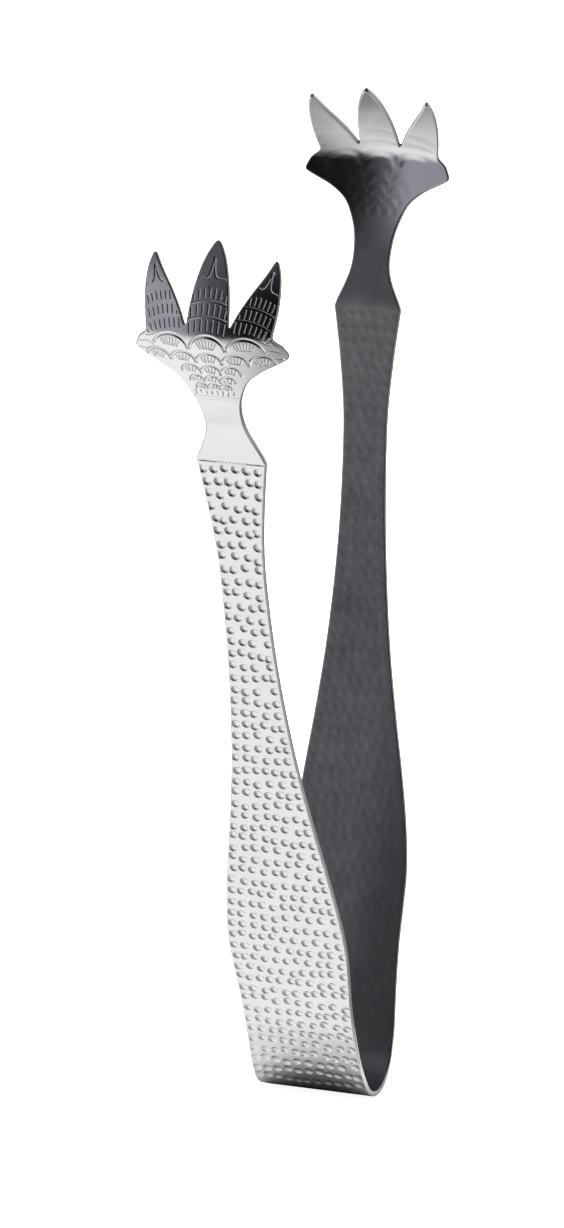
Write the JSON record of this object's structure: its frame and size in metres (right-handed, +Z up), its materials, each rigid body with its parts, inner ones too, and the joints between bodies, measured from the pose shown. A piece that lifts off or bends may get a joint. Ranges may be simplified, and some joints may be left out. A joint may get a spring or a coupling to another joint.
{
  "type": "ice tongs",
  "caption": "Spring tongs bent from a dimpled stainless strip, each arm ending in a cupped, engraved claw with pointed talons that grips ice cubes.",
  "frame": {"origin": "lowest point of the bow, on the middle of the strip, midway between the arms", "axes": "+Z up the arms towards the talons, X across the strip's width, Y the way the arms open, with the front arm at -Y and the back arm at +Y"},
  "size_m": [0.027, 0.0944, 0.1736],
  "materials": {
    "stainless_steel": "polished outside with pressed dimples and engraving, satin inside"
  },
  "bodies": {
    "bow": {"spring_bow": "stainless_steel"},
    "front_arm": {"front_arm": "stainless_steel", "front_claw": "stainless_steel"},
    "back_arm": {"back_arm": "stainless_steel", "back_claw": "stainless_steel"}
  },
  "joints": [
    {"name": "front_arm_flex", "type": "hinge", "parent": "bow", "child": "front_arm", "pos_m": [0, -0.00637, 0.00337], "axis": [-1, 0, 0], "range_deg": [0, 12.5], "stiffness_Nm_per_rad": 4},
    {"name": "back_arm_flex", "type": "hinge", "parent": "bow", "child": "back_arm", "pos_m": [0, 0.00637, 0.00337], "axis": [1, 0, 0], "range_deg": [0, 12.5], "stiffness_Nm_per_rad": 4}
  ],
  "couplings": [
    {"joint": "back_arm_flex", "follows": "front_arm_flex", "ratio": 1}
  ]
}
